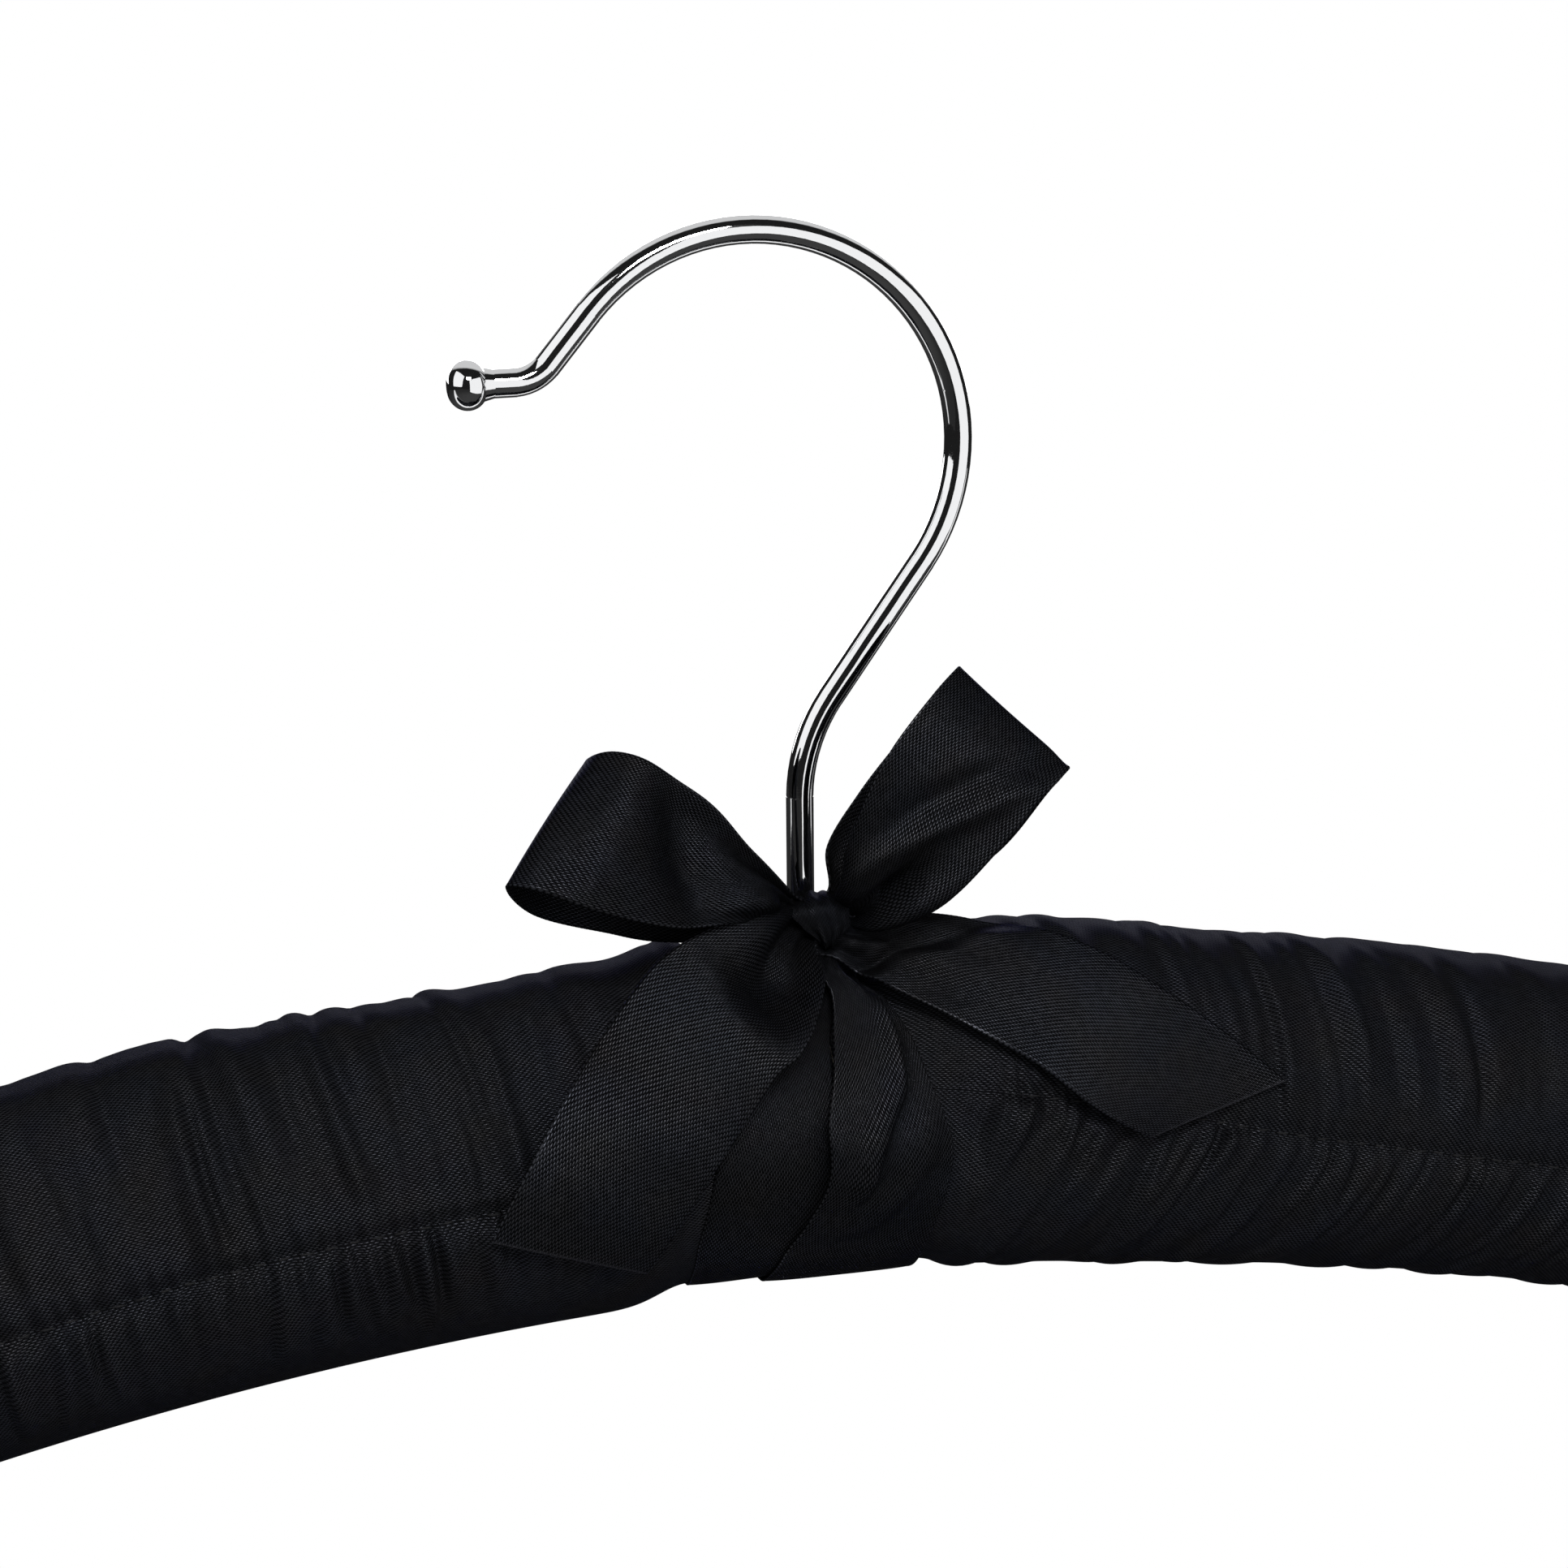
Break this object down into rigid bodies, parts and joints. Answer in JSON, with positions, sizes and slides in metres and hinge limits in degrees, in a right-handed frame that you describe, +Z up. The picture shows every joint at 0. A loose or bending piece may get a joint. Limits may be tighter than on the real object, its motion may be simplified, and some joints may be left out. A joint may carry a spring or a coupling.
{
  "type": "padded clothes hanger",
  "caption": "Bow-shaped padded clothes hanger in gathered satin, with a swivelling chrome wire hook and a ribbon bow tied in front of the shank.",
  "frame": {"origin": "where the rail touches the inside of the hook, straight above the shank, on the swivel axis", "axes": "+X along the arms to the right of someone who faces the bow, -Y towards that viewer, +Z up along the shank"},
  "size_m": [0.38, 0.0478, 0.1664],
  "materials": {
    "hook_chrome": "bright chrome plate",
    "plated_steel": "zinc plated",
    "beech": "planed, unvarnished",
    "foam": "soft padding",
    "cover_satin": "gathered black satin",
    "ribbon_satin": "black satin ribbon with a woven edge"
  },
  "bodies": {
    "hook": {"hook": "hook_chrome", "hook_nut": "plated_steel"},
    "hanger": {"hook_washer": "plated_steel", "wood_core": "beech", "foam_left": "foam", "foam_right": "foam", "cover_left": "cover_satin", "cover_right": "cover_satin", "band_left": "ribbon_satin", "band_right": "ribbon_satin", "bow_knot": "ribbon_satin", "bow_loop_left": "ribbon_satin", "bow_loop_right": "ribbon_satin", "bow_tail_left": "ribbon_satin", "bow_tail_right": "ribbon_satin"}
  },
  "joints": [
    {"name": "hook_swivel", "type": "hinge", "parent": "hook", "child": "hanger", "pos_m": [0, 0, -0.1], "axis": [0, 0, 1], "continuous": true}
  ]
}
